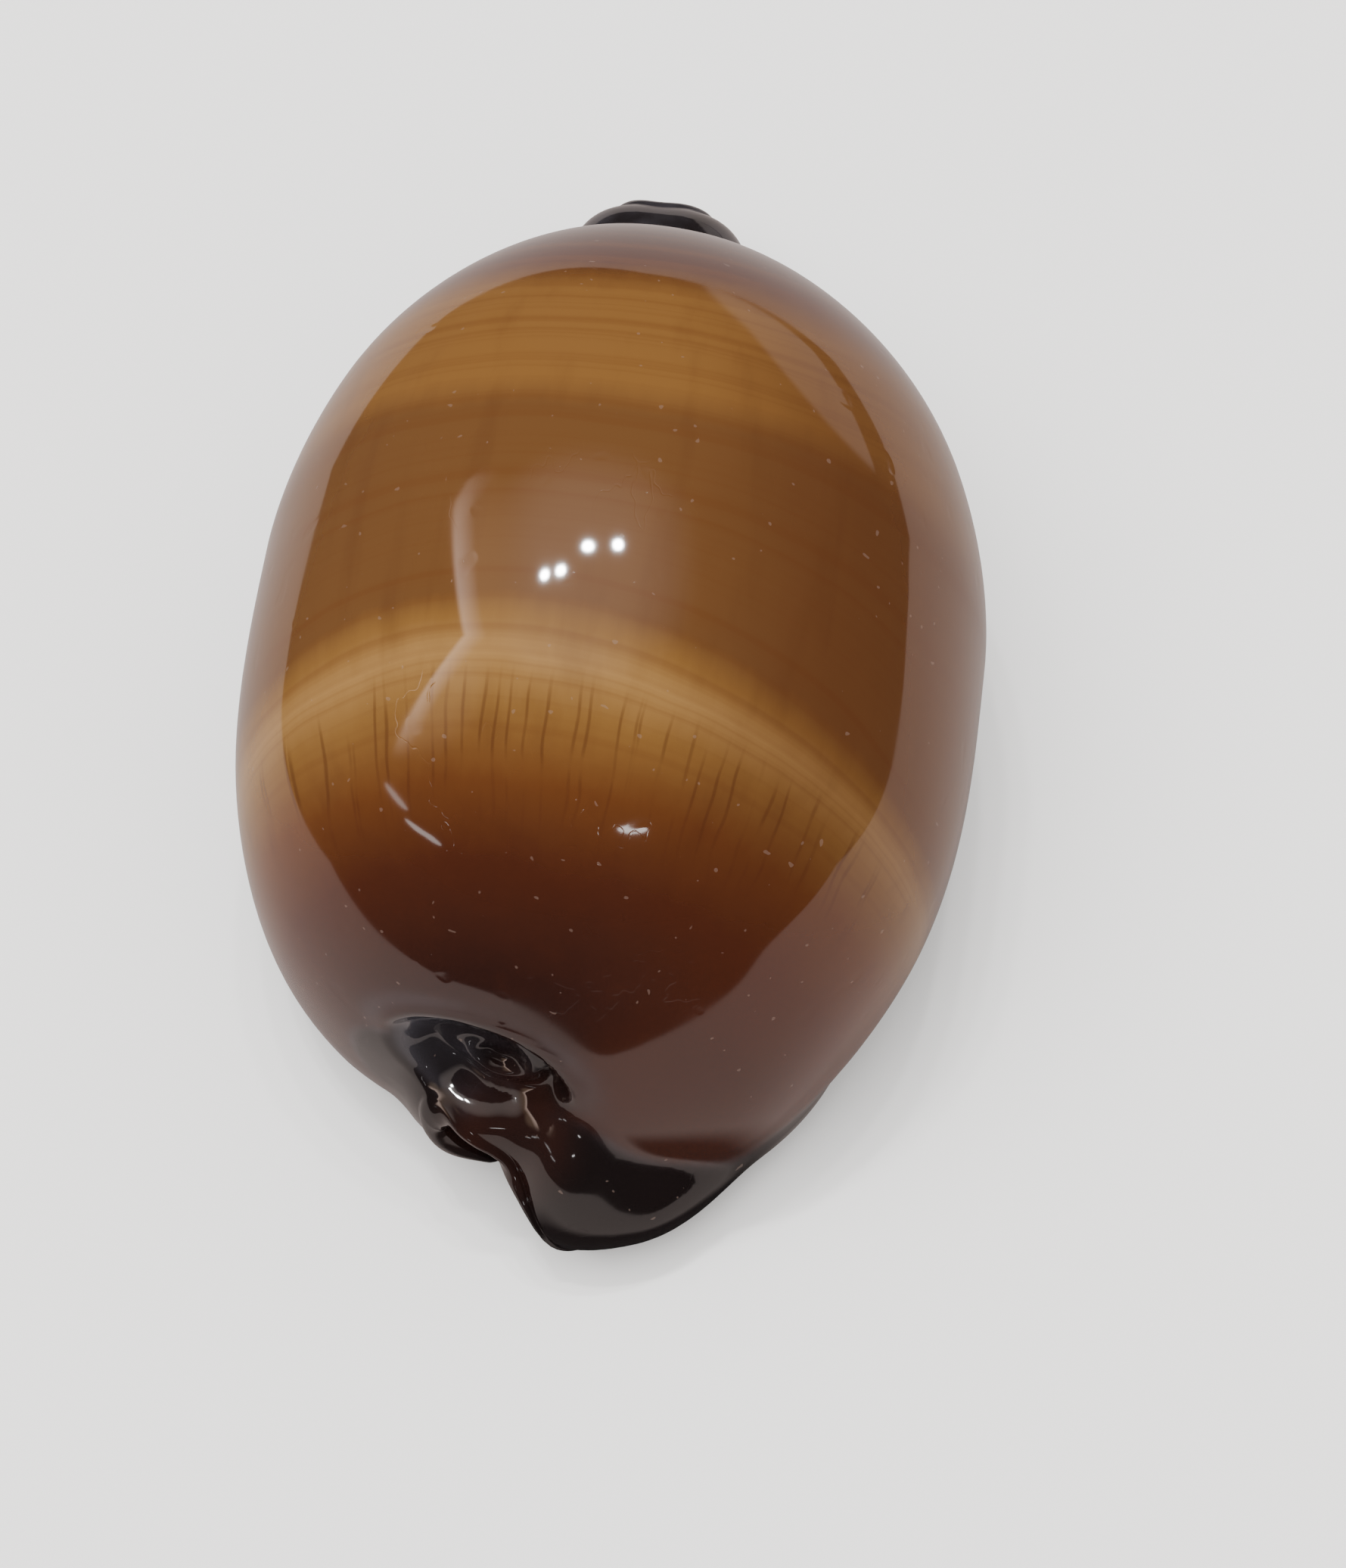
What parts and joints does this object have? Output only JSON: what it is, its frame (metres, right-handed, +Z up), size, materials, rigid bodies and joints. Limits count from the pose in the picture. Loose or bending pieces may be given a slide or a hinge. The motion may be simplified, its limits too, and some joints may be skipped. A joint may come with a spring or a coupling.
{
  "type": "cowrie shell",
  "caption": "Glossy egg-shaped sea snail shell with a domed back, a flat base and a long toothed slit that opens into the hollow inside",
  "frame": {"origin": "middle of the bounding box in plan, on the surface that the shell rests on", "axes": "+Y along the shell to its anterior end, +X to the side of the outer lip, +Z up through the domed back"},
  "size_m": [0.0472, 0.077, 0.039],
  "materials": {
    "shell": "polished aragonite: amber and brown bands over the back, blackish brown ends, sides and base"
  },
  "bodies": {
    "root": {"shell": "shell"}
  },
  "joints": []
}
